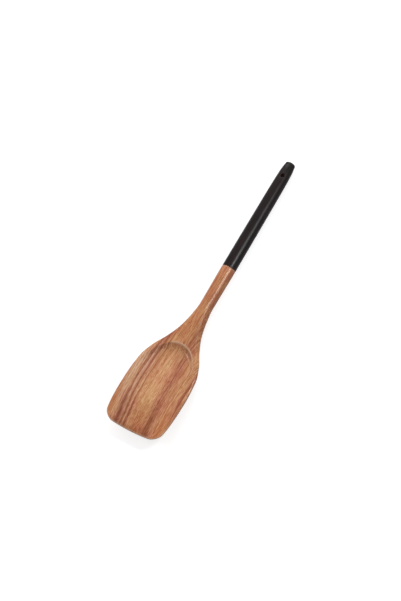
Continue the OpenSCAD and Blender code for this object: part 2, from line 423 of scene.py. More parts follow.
@dataclass(frozen=True)
class Head:
    """Blade, scoop, shoulders and neck, carved from one board."""

    places: Places
    socket: Socket = Socket()
    neck_w: float = 14.4
    neck_t: float = 12.4
    neck_from_tip: float = 152.0
    widest_from_tip: float = 50.0
    tip_w: float = 59.2
    corner_r: float = 10.5
    tip_bow: float = 1.5
    edge_t: float = 5.2
    tip_t: float = 1.8
    rim_rise: float = 11.3
    crown_h: float = 1.8
    heel_cut: float = 0.8
    tip_ease: float = 0.8
    joint_ease: float = 0.5
    scoop_from_tip: float = 103.0
    scoop_depth: float = 4.2
    tip_dish: float = 1.6
    scoop_wall: float = 9.0
    scoop_run: float = 40.0
    rim_ease: float = 0.6
    # Width of the painted highlight, a paler line, along the scoop's rim
    rim_highlight_w: float = 0.9
    # Where it fades out on the left and on the right, as shares of the rim
    rim_highlight_left: float = 0.62
    rim_highlight_right: float = 0.85
    rim_highlight_fade: float = 0.25
    # Width and share of the paler band round the tip's edge
    tip_pale_w: float = 1.4
    tip_pale: float = 0.6
    # Outline of a shoulder: share of the way to the neck, share of the blade's width kept
    shoulder_shares: Table = ((0, 1), (0.245, 0.929), (0.392, 0.744), (0.539, 0.441),
                              (0.706, 0.183), (0.853, 0.064), (1, 0))
    # Section: share of the way to the tip, share of the neck's thickness, of the crown
    section_shares: Table = ((0, 1, 0), (0.145, 0.72, 0.45), (0.31, 0.27, 1),
                             (0.42, 0.08, 0.75), (0.55, 0, 0.25), (0.65, 0, 0), (1, 0, 0))
    # Scoop: share of the way from its curved rim to the tip, share of its depth
    scoop_shares: Table = ((0, 0.8), (0.08, 0.85), (0.2, 0.95), (0.45, 1), (1, 1))
    # Share of the half width at which the rim meets the blade's edges
    rim_share: float = math.sin(math.radians(75))
    # How much of the rim is a plain arc, and how sharply the rest turns to the edges
    arc_share: float = 0.22
    flare_power: float = 6.0
    # How steeply the scoop's wall starts, and how long the board's bend takes
    wall_power: float = 2.6
    bend_share: float = 0.1
    # How the back sweeps up to the tip, and the sides narrow to it
    sweep_power: float = 1.5
    side_power: float = 3.0
    # How square the edges are: on an oval section, and on a flat one above and below,
    # which is this much flatter than the handle's
    oval_power: float = 2.0
    top_power: float = 4.0
    back_power: float = 2.8
    flat_ratio: float = 6.0
    # Steps round a quarter of the section, and rows along the head
    side_steps: int = 72
    ease_rows: int = 6
    neck_rows: int = 34
    shoulder_rows: int = 64
    crest_rows: int = 8
    wall_rows: int = 20
    blade_rows: int = 84
    corner_rows: int = 26

    def half_w(self, d: Array) -> Array:
        """Half width: a cubic ease along the neck, the shoulder's curve, then a power
        curve to the tip, less the quarter circle of the tip's corner.

        Args:
            d: Distances from the tip.

        Returns:
            Half widths.
        """
        neck_run = (d - self.neck_from_tip) / (self.places.head_l - self.neck_from_tip)
        neck = mix(self.neck_w, self.places.handle_w, soft(neck_run))
        way = (d - self.widest_from_tip) / (self.neck_from_tip - self.widest_from_tip)
        shoulder = mix(self.neck_w, self.places.blade_w, along(self.shoulder_shares, way))
        bow = 1 - (1 - clip(d / self.widest_from_tip)) ** self.side_power
        blade = mix(self.tip_w, self.places.blade_w, bow)
        wide = np.where(d > self.neck_from_tip, neck,
                        np.where(d > self.widest_from_tip, shoulder, blade))
        short = np.maximum(self.corner_r - d, 0)
        return wide / 2 - self.corner_r + np.sqrt(self.corner_r ** 2 - short ** 2)

    def reach(self, d: Array) -> Array:
        """Share of the way from the neck to the tip."""
        return clip(1 - d / self.neck_from_tip)

    def edge_h(self, d: Array) -> Array:
        """Height of the middle of the side edges: a hyperbola from the neck to the tip.

        Args:
            d: Distances from the tip.

        Returns:
            Heights above the table.
        """
        b = self.bend_share
        rise = np.sqrt(self.reach(d) ** 2 + b * b) - b
        return self.places.axis_h + self.rim_rise * rise / (math.sqrt(1 + b * b) - b)

    def stem_half(self, d: Array) -> Array:
        """Half the thickness of the neck."""
        run = (d - self.neck_from_tip) / (self.places.head_l - self.neck_from_tip)
        return mix(self.neck_t, self.places.handle_t, soft(run)) / 2

    def edge_half(self, d: Array) -> Array:
        """Half the thickness of the side edges, which is half the neck at the neck."""
        blade = mix(self.tip_t, self.edge_t, soft(d / self.widest_from_tip)) / 2
        return mix(blade, self.stem_half(d), along(self.section_shares, self.reach(d)))

    def crown(self, d: Array) -> Array:
        """Height of the shoulders' crown above their edges."""
        return self.crown_h * along(self.section_shares, self.reach(d), 2)

    def edge_round(self, d: Array, s: Array, power: float) -> Array:
        """Height of the rounded edge above its middle: half its thickness times
        (1 - s^2f)^(1/n), where f is how flat the section is, and n grows with it.

        Args:
            d: Distances from the tip.
            s: Shares of the half width.
            power: How square the edge is where the section is flat.

        Returns:
            Heights above the middle.
        """
        ratio = self.half_w(d) / self.edge_half(d) * self.places.handle_t / self.places.handle_w
        flat = np.maximum(1, ratio)
        n = mix(self.oval_power, power, clip((flat - 1) / self.flat_ratio))
        return self.edge_half(d) * np.maximum(0, 1 - s ** (2 * flat)) ** (1 / n)

    def rim_at(self, s: Array) -> Array:
        """Distance of the scoop's rim from the tip: an arc that turns to the edges, the
        scoop's start less its run times a mix of r^2 and a high power of r.

        Args:
            s: Shares of the half width.

        Returns:
            Distances from the tip.
        """
        r = np.minimum(1, s / self.rim_share)
        bend = self.arc_share * r ** 2 + (1 - self.arc_share) * r ** self.flare_power
        return self.scoop_from_tip - self.scoop_run * bend

    def rim_slant(self, d: Array, s: Array) -> Array:
        """Length along X for each unit of length square to the rim: the root of 1 plus
        the square of the rim's slope.

        Args:
            d: Distances from the tip.
            s: Shares of the half width.

        Returns:
            Lengths.
        """
        r = s / self.rim_share
        high = self.flare_power * (1 - self.arc_share) * r ** (self.flare_power - 1)
        slope = self.scoop_run * (2 * self.arc_share * r + high) / self.rim_share
        return np.sqrt(1 + (slope / self.half_w(d)) ** 2)

    def scoop(self, d: Array, s: Array) -> Array:
        """Depth of the scoop below the board's top: its depth at that distance times
        1 - (s / rim)^2, times a wall that drops by a power of t behind the rim.

        Args:
            d: Distances from the tip.
            s: Shares of the half width.

        Returns:
            Depths.
        """
        share = along(self.scoop_shares, clip(1 - d / self.scoop_from_tip))
        fade = soft(d / self.widest_from_tip)
        deep = mix(self.tip_dish, self.scoop_depth * share, fade) + self.crown(d)
        bowl = np.maximum(0, 1 - (s / self.rim_share) ** 2)
        inside = (self.rim_at(s) - d) / self.rim_slant(d, s)
        eased = np.maximum(inside + self.rim_ease, 0) ** 2 / (4 * self.rim_ease)
        behind = np.where(inside > self.rim_ease, inside, eased)
        wall = 1 - (1 - clip(behind / self.scoop_wall)) ** self.wall_power
        return deep * bowl * wall

    def pale_band(self, d: Array, s: Array, side: Array) -> Array:
        """How much painted highlight a point of the face gets along the scoop's rim:
        exp(-(t / w)^2) at t behind the rim, fading where the rim turns to the edges.

        Args:
            d: Distances from the tip.
            s: Shares of the half width.
            side: 1 on the left, -1 on the right.

        Returns:
            Shares of painted highlight.
        """
        behind = (self.rim_at(s) - d) / self.rim_slant(d, s)
        end = np.where(side > 0, self.rim_highlight_left, self.rim_highlight_right)
        fade = soft((end - s / self.rim_share) / self.rim_highlight_fade)
        return np.exp(-(behind / self.rim_highlight_w) ** 2) * fade

    def tip_edge(self, d: Array, s: Array) -> Array:
        """How much paler a point by the tip's edge is drawn: exp(-(t / w)^2) at t from
        the tip or, by its corners, from the side.

        Args:
            d: Distances from the tip.
            s: Shares of the half width.

        Returns:
            Shares of paling.
        """
        in_from_side = (1 - s) * self.half_w(d)
        # All of it on the rounded corners, and none beyond twice their radius
        corner = clip(2 - d / self.corner_r)
        near_side = np.exp(-(in_from_side / self.tip_pale_w) ** 2) * corner
        near_tip = np.exp(-(d / self.tip_pale_w) ** 2)
        return self.tip_pale * np.maximum(near_side, near_tip)

    def face(self, d: Array, s: Array) -> Array:
        """Height of the scooped face: edge, rounded edge and crown, less the scoop."""
        board = self.edge_h(d) + self.edge_round(d, s, self.top_power)
        return board + self.crown(d) * (1 - s * s) - self.scoop(d, s)

    def back_h(self, d: Array) -> Array:
        """Height of the back's middle: level under the shoulders, swept up to the tip.

        Args:
            d: Distances from the tip.

        Returns:
            Heights above the table.
        """
        nil = np.zeros(1)
        tip = self.edge_h(nil) - self.edge_half(nil) - self.scoop(nil, nil)
        run = self.neck_from_tip - self.scoop_from_tip
        sunk = soft((self.neck_from_tip - d) / run)
        neck = mix(self.places.axis_h - self.stem_half(d), -self.heel_cut, sunk)
        sweep = clip(1 - d / self.scoop_from_tip) ** self.sweep_power
        return np.where(d > self.scoop_from_tip, neck, mix(-self.heel_cut, tip, sweep))

    def back(self, d: Array, s: Array) -> Array:
        """Height of the back: a bellied curve from edge to edge, planed flat at 0.

        Args:
            d: Distances from the tip.
            s: Shares of the half width.

        Returns:
            Heights above the table.
        """
        belly = self.edge_h(d) - self.edge_half(d) - self.back_h(d)
        low = self.edge_h(d) - self.edge_round(d, s, self.back_power)
        return np.maximum(0, low - belly * (1 - s * s))

    def rows(self, s: Array) -> Array:
        """Distances from the tip of each row, one column for each line of constant s.

        The rows close up where the surface bends: at the joint's rounding, on the scoop's
        rim, which they follow, on its wall and round the tip's corners.

        Args:
            s: Shares of the half width.

        Returns:
            The distances.
        """
        one = np.ones_like(s)
        quarter = math.pi / 2
        joint = self.places.head_l
        rim = self.rim_at(s)
        crest = self.rim_ease * self.rim_slant(rim, np.minimum(s, self.rim_share))
        foot = rim - crest - self.scoop_wall

        def steps(count: int, last: bool = False) -> Array:
            """Even shares from 0 up to 1, as a column."""
            return np.linspace(0, 1, count, endpoint=last)[:, None]

        return np.concatenate([
            joint - self.joint_ease * (1 - np.cos(quarter * steps(self.ease_rows))) * one,
            mix(joint - self.joint_ease, self.neck_from_tip, steps(self.neck_rows)) * one,
            mix(self.neck_from_tip, rim + crest, steps(self.shoulder_rows)),
            mix(rim + crest, rim - crest, steps(self.crest_rows)),
            mix(rim - crest, foot, 1 - np.cos(quarter * steps(self.wall_rows))),
            mix(foot, self.corner_r, steps(self.blade_rows)),
            self.corner_r * (1 - np.sin(quarter * steps(self.corner_rows, True))) * one,
        ])

    def build(self) -> bpy.types.Object:
        """Closed skin of the head: the dowel's socket, its end face, then row after row
        over the face from right to left and back underneath, folded shut at the tip.

        Returns:
            The head, without its finish.
        """
        n = self.side_steps
        around = np.arange(4 * n)
        upper = around <= 2 * n
        line = np.where(upper, around - n, 3 * n - around)
        share = np.sin(math.pi / 2 * np.abs(line) / n)
        side = np.sign(line)
        d = self.rows(np.sin(math.pi / 2 * np.arange(n + 1) / n))[:, np.abs(line)]
        s = np.broadcast_to(share, d.shape)

        top = self.face(d, s)
        low = self.back(d, s)
        height = np.where(upper, top, low)
        near_tip = clip(1 - d / self.tip_ease)
        thin = np.sqrt(np.maximum(0, 1 - near_tip ** 2))
        height = mix((top + low) / 2, height, thin)
        y = side * s * self.half_w(d)
        bow = self.tip_bow * (2 * y / self.tip_w) ** 2 * clip(1 - d / self.widest_from_tip)

        near_joint = clip(1 - (self.places.head_l - d) / self.joint_ease)
        inset = self.joint_ease * (1 - np.sqrt(1 - near_joint ** 2))
        shrink = 1 - inset / (self.places.handle_w / 2)
        axis = self.places.axis_h
        skin = np.stack([self.places.tip_x + d + bow, y * shrink,
                         mix(axis, height, shrink)], -1)
        rise = np.where(upper, 1, -1) * np.sqrt(np.maximum(0, 1 - share ** 2))
        circle = np.stack([0 * share, side * share, rise], -1)
        socket = self.socket.rows(skin[0], circle, -1)
        points = np.concatenate([socket, skin])
        # Painted highlight along the scoop's rim on the face, and a paler band round the tip's
        # edge
        pale = np.maximum(np.where(upper, self.pale_band(d, s, side), 0), self.tip_edge(d, s))
        pale_band = np.concatenate([0 * socket[..., 0], pale])

        index = np.arange(points.shape[0] * points.shape[1]).reshape(points.shape[:2])
        index[0] = index[0, 0]
        index[-1] = np.where(upper, index[-1], index[-1, -around])
        return make_piece("carved_head", points.reshape(-1, 3), grid_faces(index),
                          {"pale_band": pale_band})

    def dress(self, piece: bpy.types.Object) -> None:
        """Give the head its oiled wood all over."""
        dress(piece, OiledAcacia(self.places).material())


@dataclass(frozen=True)
class Handle:
    """Oval handle with a rounded end, a dowel socket and a hole to hang it by."""

    places: Places
    socket: Socket = Socket()
    end_l: float = 3.0
    end_power: float = 2.6
    end_flat_share: float = 0.3
    hole_r: float = 2.25
    hole_ease: float = 0.4
    joint_ease: float = 0.5
    # Outline: share of its length, share of its width
    outline_shares: Table = ((0, 0.7), (0.023, 0.733), (0.06, 0.82), (0.1, 0.87),
                             (0.15, 0.903), (0.24, 0.936), (0.45, 0.963), (1, 1))
    # Steps round the section, then along the end, up to the hole and along the grip
    around: int = 192
    end_steps: int = 20
    tip_steps: int = 16
    grip_steps: int = 110
    # Patch of the skin that the hole replaces: half its length, its steps along the
    # handle and half its steps round it
    patch_half: float = 3.8
    patch_steps: int = 12
    patch_columns: int = 17
    # Steps from the patch's border to the hole, over its rounded mouth and down its wall
    ring_steps: int = 8
    ease_steps: int = 6
    wall_steps: int = 8

    def half_w(self, d: Array) -> Array:
        """Half width at a distance from the end: the outline's curve."""
        return self.places.handle_w / 2 * along(self.outline_shares, d / self.places.handle_l)

    def height(self, d: Array, y: Array) -> Array:
        """Height of the oval above the axis: half its thickness times (1 - (y/w)^2)^0.5.

        Args:
            d: Distances from the end.
            y: Places across the handle.

        Returns:
            Heights above the axis.
        """
        half = self.half_w(d)
        bulge = np.sqrt(np.maximum(0, 1 - (y / half) ** 2))
        return half * bulge * self.places.handle_t / self.places.handle_w

    def outline(self) -> tuple[Array, Array, int]:
        """Distances from the end and half widths of the rows, and the hole's first row.

        The end is a superellipse, the grip the outline's curve and the joint a quarter
        circle. An even run of rows carries the hole.

        Returns:
            The distances, the half widths and the number of the row.
        """
        turn = np.linspace(0, 1, self.end_steps, endpoint=False)
        x = 1 - np.cos(math.pi / 2 * turn)
        curve = (1 - (1 - x) ** self.end_power) ** (1 / self.end_power)
        end_half = self.half_w(np.array([self.end_l]))
        low = HOLE_FROM_END - self.patch_half
        high = HOLE_FROM_END + self.patch_half
        last = self.places.handle_l - self.joint_ease
        grip = np.concatenate([
            np.linspace(self.end_l, low, self.tip_steps, endpoint=False),
            np.linspace(low, high, self.patch_steps, endpoint=False),
            np.linspace(high, last, self.grip_steps),
        ])
        angle = math.pi / 2 * np.linspace(0, 1, self.ease_steps + 1)[1:]
        d = np.concatenate([x * self.end_l, grip, last + self.joint_ease * np.sin(angle)])
        rounding = self.places.handle_w / 2 - self.joint_ease * (1 - np.cos(angle))
        half = np.concatenate([end_half * mix(self.end_flat_share, 1, curve),
                               self.half_w(grip), rounding])
        return d, half, self.end_steps + self.tip_steps

    def hole(self, top: Array, bottom: Array) -> Array:
        """Rows that close the skin round the hole, from a patch's border on the top,
        down the hole's wall, to the same border underneath.

        Each row is the border drawn in towards a circle. On the surface its height is the
        oval's, at the rim it falls by a quarter circle, and the wall is straight.

        Args:
            top: Border of the patch on the top, once round.
            bottom: The same places on the underside. Not used.

        Returns:
            The rows between the two borders.
        """
        centre = np.array([self.places.hole_x, 0])
        away = top[:, :2] - centre
        far = np.linalg.norm(away, axis=1)
        ray = away / far[:, None]
        eased = self.hole_r + self.hole_ease

        def ring(radius: Array, drop: float, up: int) -> Array:
            """Ring of points at a radius, a drop below the surface.

            Args:
                radius: Radius at each point.
                drop: Depth below the surface.
                up: 1 on the top, -1 underneath.

            Returns:
                The points, one to a row.
            """
            flat = centre + ray * radius[:, None]
            high = self.height(self.places.tail_x - flat[:, 0], flat[:, 1]) - drop
            return np.column_stack([flat, self.places.axis_h + up * high])

        def half_of(up: int) -> list[Array]:
            """Rings from the border to the start of the wall.

            Args:
                up: 1 on the top, -1 underneath.

            Returns:
                The rings.
            """
            shares = np.linspace(0, 1, self.ring_steps + 1)[1:]
            turns = math.pi / 2 * np.linspace(0, 1, self.ease_steps + 1)[1:]
            rings = [ring(mix(far, eased, share), 0, up) for share in shares]
            for turn in turns:
                radius = np.full_like(far, eased - self.hole_ease * math.sin(turn))
                rings.append(ring(radius, self.hole_ease * (1 - math.cos(turn)), up))
            return rings

        over = half_of(1)
        under = half_of(-1)[::-1]
        shares = np.linspace(0, 1, self.wall_steps + 1)[1:-1]
        wall = [mix(over[-1], under[0], share) for share in shares]
        return np.stack([*over, *wall, *under])

    def build(self) -> bpy.types.Object:
        """Closed skin of the handle: from the middle of its end along the grip to the
        joint and into the dowel's socket, with the hanging hole let in.

        Returns:
            The handle, without its finish.
        """
        d, half, first = self.outline()
        angle = 2 * math.pi * np.arange(self.around) / self.around
        circle = np.stack([0 * angle, -np.cos(angle), np.sin(angle)], -1)
        axis = self.places.axis_h
        scale = np.array([0, 1, self.places.handle_t / self.places.handle_w])
        skin = circle * scale * half[:, None, None] + [0, 0, axis]
        skin[..., 0] += (self.places.tail_x - d)[:, None]
        flat = np.linspace(0, 1, self.ring_steps, endpoint=False)[:, None, None]
        middle = np.broadcast_to(skin[0].mean(0), skin[0].shape)
        cap = mix(middle, skin[0], flat)
        inner = self.socket.rows(skin[-1], circle, 1)[::-1]
        points = np.concatenate([cap, skin, inner])

        index = np.arange(points.shape[0] * points.shape[1]).reshape(points.shape[:2])
        index[0] = index[0, 0]
        index[-1] = index[-1, 0]
        rows = slice(first + len(cap), first + len(cap) + self.patch_steps + 1)
        quarter, reach = self.around // 4, self.patch_columns
        top = index[rows, quarter - reach:quarter + reach + 1]
        bottom = index[rows, 3 * quarter - reach:3 * quarter + reach + 1][:, ::-1]
        borders = [self.border(patch) for patch in (top, bottom)]
        flat_points = points.reshape(-1, 3)
        hole = self.hole(flat_points[borders[0]], flat_points[borders[1]])
        numbers = np.arange(hole.shape[0] * hole.shape[1]).reshape(hole.shape[:2])
        strip = np.stack([borders[0], *(numbers + len(flat_points)), borders[1]])

        covered = {tuple(face) for patch in (top, bottom[:, ::-1])
                   for face in self.patch_faces(patch)}
        faces = [face for face in grid_faces(index) if tuple(face) not in covered]
        everything = np.concatenate([flat_points, hole.reshape(-1, 3)])
        return make_piece("turned_handle", everything, faces + grid_faces(strip))

    def dress(self, piece: bpy.types.Object) -> None:
        """Give the handle its lacquer all over."""
        dress(piece, BlackLacquer(self.places).material())

    @staticmethod
    def border(patch: Array) -> Array:
        """Point numbers once round the edge of a patch."""
        return np.concatenate([patch[0, :-1], patch[:-1, -1], patch[-1, :0:-1],
                               patch[:0:-1, 0]])

    @staticmethod
    def patch_faces(patch: Array) -> list[list[int]]:
        """Faces of a patch, in the order of the grid's own faces.

        Args:
            patch: Point numbers, one row of the grid to a row.

        Returns:
            The faces, as lists of point numbers.
        """
        near, far = patch[:-1], patch[1:]
        corners = (near[:, :-1], near[:, 1:], far[:, 1:], far[:, :-1])
        return np.stack(corners, -1).reshape(-1, 4).tolist()


@dataclass(frozen=True)
class Streak:
    """Band of another colour along the board."""

    # Millimetres from the board's middle to the streak, towards the left edge
    at: float
    half_w: float
    colour: str
    # How much of it shows on the neck, on the blade and at the tip
    on_neck: float
    on_blade: float
    on_tip: float


@dataclass(frozen=True)
class Grain:
    """Mottling drawn out along the wood, and the two tones that it gives."""

    # Length and width of its cells in millimetres, and how finely it breaks up
    length: float
    width: float
    detail: float
    # Values of the noise at which the dark tone ends and the pale one starts
    low: float = 0.0
    high: float = 1.0
    dark: str = "#000000"
    pale: str = "#FFFFFF"

    def noise(self, tree: bpy.types.NodeTree,
              place: bpy.types.NodeSocket) -> bpy.types.NodeSocket:
        """Noise with 1 / length cells to a millimetre along X and 1 / width across it.

        Args:
            tree: Node tree of the material.
            place: Place in millimetres.

        Returns:
            The noise, from 0 to 1.
        """
        scale = (1 / self.length, 1 / self.width, 1 / self.width)
        drawn = add_node(tree, "Mapping", {"Vector": place, "Scale": scale})
        return add_node(tree, "TexNoise", {"Vector": drawn, "Scale": 1.0,
                                           "Detail": self.detail})

    @property
    def stops(self) -> tuple[tuple[float, Colour], ...]:
        """Values of the noise and colours there: the dark tone and the pale one."""
        return (self.low, linear(self.dark)), (self.high, linear(self.pale))


@dataclass(frozen=True)
class OiledAcacia:
    """Acacia heartwood, planed, sanded and oiled.

    It gives the eye a warm tan board with reddish and dark brown streaks along it, the
    fine straight lines of growth rings cut from the side, short pores and a satin gloss.
    The scoop's rim carries a painted highlight, a paler line, and the tip's edge is paler.
    """

    places: Places
    neck: str = "#B68565"
    blade: str = "#BC8C70"
    streaks: tuple[Streak, ...] = (
        Streak(4.0, 17.0, "#D2A784", 0.0, 0.82, 0.2),
        # Pale left margin of the blade: the wood's tone with a painted sheen
        Streak(28.5, 8.0, "#CFA995", 0.0, 0.8, 0.4),
        Streak(-10.0, 5.7, "#A7735E", 0.45, 0.9, 0.5),
        Streak(-29.0, 3.0, "#8F5740", 0.3, 0.8, 0.2),
        Streak(-9.2, 7.0, "#7E442E", 0.0, 0.0, 0.8),
        Streak(22.8, 5.2, "#74382A", 0.0, 0.0, 0.9),
        Streak(2.0, 12.0, "#A06644", 0.0, 0.0, 0.7),
        Streak(-23.0, 8.0, "#B06C3A", 0.0, 0.0, 0.5),
        Streak(33.0, 8.0, "#BA7E48", 0.0, 0.0, 0.4),
        Streak(15.5, 6.0, "#7E4632", 0.0, 0.0, 0.55),
        # Darker right flank of the neck and shoulders: painted shade with the wood's tone
        Streak(-5.0, 8.0, "#8A5A44", 0.5, 0.0, 0.0),
        Streak(20.0, 6.0, "#8A5440", 0.65, 0.0, 0.0),
        Streak(-18.0, 5.0, "#D2A586", 0.5, 0.0, 0.0),
        Streak(20.4, 1.8, "#D6B3A4", 0.0, 0.8, 0.3),
        Streak(15.9, 1.6, "#D2AE96", 0.0, 0.7, 0.4),
        Streak(22.5, 2.1, "#93604F", 0.6, 0.55, 0.6),
        Streak(18.1, 1.1, "#865342", 0.7, 0.7, 0.9),
        Streak(13.7, 1.2, "#945E48", 0.6, 0.42, 0.9),
    )
    # Drift of the streaks across the board: share of the head's length from the tip,
    # share of the way from the greatest drift to none
    drift_shares: Table = ((0, 0.06), (0.06, 0.31), (0.116, 0.56), (0.217, 0.87),
                           (0.33, 1), (0.39, 0.99), (0.48, 0.69), (0.55, 0.5), (1, 0.45))
    drift: float = 6.4
    # How far the streaks wander off their lines, and over what length and width
    wander: float = 1.6
    wander_grain: Grain = Grain(60.0, 16.0, 1.0)
    # Where the tip's colours start and end, and the neck's
    tip_from: float = -117.0
    tip_to: float = -153.0
    neck_from: float = -96.0
    neck_to: float = -50.0
    # Fibres and pores are drawn coarser than the real ones, 0.2 mm wide, so that they
    # show at arm's length. Rings run on without end
    patch: Grain = Grain(24.0, 8.0, 2.0, 0.34, 0.66, "#BAA8A3", "#C5C5B0")
    ring: Grain = Grain(math.inf, 1.1, 3.0, 0.36, 0.64, "#A29792", "#D4D2D1")
    fibre: Grain = Grain(20.0, 0.6, 3.0, 0.38, 0.62, "#9A8D88", "#DAD8D7")
    pore: Grain = Grain(4.5, 0.42, 1.0, 0.28, 0.42, "#C4A898", "#FFFFFF")
    # Line that the rings grew round: to the side of the board and above it
    pith_y: float = -60.0
    pith_h: float = 40.0
    # Darker colour towards the tip's edge: where it starts and where
    # it is full, from the tip's edge
    tip_dark_from: float = 7.0
    tip_full: float = 1.0
    tip_shade: str = "#D8CAC2"
    # Paler colour and its share: a painted highlight along the scoop's rim and a paler band
    # round the tip's edge; then a paler ring on the wood beside the joint
    pale_layer: str = "#D8B79B"
    pale_band_share: float = 0.7
    end_ring: float = 1.6
    joint_ring_colour: str = "#B89A8C"
    end_share: float = 0.6
    # Roughness of dark fibres and of pale ones, the oil's warm gloss and the relief
    rough: tuple[float, float] = (0.28, 0.21)
    gloss_tint: str = "#FFEAD6"
    relief: float = 0.25

    def material(self) -> bpy.types.Material:
        """Streaks over the board's ground colour, then patches, rings, fibres and pores,
        the darker tip, the painted highlight along the scoop's rim and the paler bands.

        Returns:
            The material.
        """
        material, tree = new_material("oiled_acacia")
        place = millimetres(tree)
        x, y, z = add_node(tree, "SeparateXYZ", {0: place}).node.outputs
        across = self.across(tree, place, x, y)
        patches = self.patch.noise(tree, place)
        rings = self.rings(tree, across, z)
        fibres = self.fibre.noise(tree, place)
        pores = self.pore.noise(tree, place)
        grains = ((patches, self.patch, Tint.SOFTEN), (rings, self.ring, Tint.SOFTEN),
                  (fibres, self.fibre, Tint.SOFTEN), (pores, self.pore, Tint.DARKEN))
        tip_x, joint_x = self.places.tip_x, self.places.joint_x
        tip = add_node(tree, "MapRange", {
            VALUE: x, FROM: tip_x + self.tip_dark_from, TO: tip_x + self.tip_full})
        # Painted highlight along the scoop's rim, and the paler band round the tip's edge
        pale_band = add_node(tree, "Attribute", out="Fac", attribute_name="pale_band")
        pale_layer = add_node(tree, "MapRange", {VALUE: pale_band, HIGH: self.pale_band_share})
        end = add_node(tree, "MapRange", {
            VALUE: x, FROM: joint_x - self.end_ring, TO: joint_x, HIGH: self.end_share})
        colour = layered(tree, self.figure(tree, x, across), (
            *((1.0, add_node(tree, "ValToRGB", {0: noise}, stops=grain.stops), tint)
              for noise, grain, tint in grains),
            (tip, linear(self.tip_shade), Tint.DARKEN),
            (pale_layer, linear(self.pale_layer), Tint.OVER),
            (end, linear(self.joint_ring_colour), Tint.OVER),
        ))
        gloss = add_node(tree, "MapRange", {
            VALUE: fibres, FROM: SPREAD[0], TO: SPREAD[1],
            LOW: self.rough[0], HIGH: self.rough[1]})
        height = add_node(tree, "Math", {0: fibres, 1: pores}, operation=Op.ADD)
        normal = add_node(tree, "Bump", {
            "Strength": self.relief, "Distance": GROOVE, "Height": height})
        finish_surface(tree, {
            "Base Color": colour, "Roughness": gloss, "IOR": FINISH_IOR,
            "Specular Tint": linear(self.gloss_tint), "Normal": normal})
        return material

    def across(self, tree: bpy.types.NodeTree, place: bpy.types.NodeSocket,
               x: bpy.types.NodeSocket, y: bpy.types.NodeSocket) -> bpy.types.NodeSocket:
        """Millimetres across the board along the grain: Y, less the streaks' drift at
        that place along the board, plus a slow wander.

        Args:
            tree: Node tree of the material.
            place: Place in millimetres.
            x: Its part along the board.
            y: Its part across the board.

        Returns:
            The distance from the board's middle, towards the left edge.
        """
        noise = self.wander_grain.noise(tree, place)
        wander = add_node(tree, "MapRange", {
            VALUE: noise, LOW: -self.wander, HIGH: self.wander})
        way = add_node(tree, "MapRange", {
            VALUE: x, FROM: self.places.tip_x, TO: self.places.joint_x})
        curve = add_node(tree, "FloatCurve", {1: way}, stops=self.drift_shares)
        drift = add_node(tree, "MapRange", {VALUE: curve, LOW: -self.drift, HIGH: 0.0})
        straight = add_node(tree, "Math", {0: y, 1: drift}, operation=Op.SUBTRACT)
        return add_node(tree, "Math", {0: straight, 1: wander}, operation=Op.ADD)

    def figure(self, tree: bpy.types.NodeTree, x: bpy.types.NodeSocket,
               across: bpy.types.NodeSocket) -> bpy.types.NodeSocket:
        """Ground colour of the board under its streaks.

        A streak covers the ground by how close the point is to its middle: a smooth ease
        from none at its edge to all in its middle, times how much of it shows there.

        Args:
            tree: Node tree of the material.
            x: Place along the board.
            across: Place across it along the grain.

        Returns:
            The colour.
        """
        eased = {"interpolation_type": "SMOOTHSTEP"}
        to_tip = add_node(tree, "MapRange", {
            VALUE: x, FROM: self.tip_from, TO: self.tip_to}, **eased)
        to_neck = add_node(tree, "MapRange", {
            VALUE: x, FROM: self.neck_from, TO: self.neck_to}, **eased)
        layers = [(to_neck, linear(self.neck), Tint.OVER)]
        for streak in self.streaks:
            shown = add_node(tree, "MapRange", {
                VALUE: to_neck, LOW: streak.on_blade, HIGH: streak.on_neck})
            shown = add_node(tree, "MapRange", {
                VALUE: to_tip, LOW: shown, HIGH: streak.on_tip})
            off = add_node(tree, "Math", {0: across, 1: streak.at}, operation=Op.SUBTRACT)
            away = add_node(tree, "Math", {0: off}, operation=Op.ABSOLUTE)
            cover = add_node(tree, "MapRange", {
                VALUE: away, FROM: streak.half_w, TO: 0.0, HIGH: shown}, **eased)
            layers.append((cover, linear(streak.colour), Tint.OVER))
        return layered(tree, linear(self.blade), layers)

    def rings(self, tree: bpy.types.NodeTree, across: bpy.types.NodeSocket,
              z: bpy.types.NodeSocket) -> bpy.types.NodeSocket:
        """Growth rings: uneven bands by the distance from the line that they grew round.

        Args:
            tree: Node tree of the material.
            across: Place across the board along the grain.
            z: Height above the table.

        Returns:
            The bands, as a noise from 0 to 1.
        """
        point = add_node(tree, "CombineXYZ", {1: across, 2: z})
        pith = (0.0, self.pith_y, self.pith_h)
        radius = add_node(tree, "VectorMath", {0: point, 1: pith}, out=1,
                          operation=Op.DISTANCE)
        return add_node(tree, "TexNoise", {
            "W": radius, "Scale": 1 / self.ring.width, "Detail": self.ring.detail},
            noise_dimensions="1D")


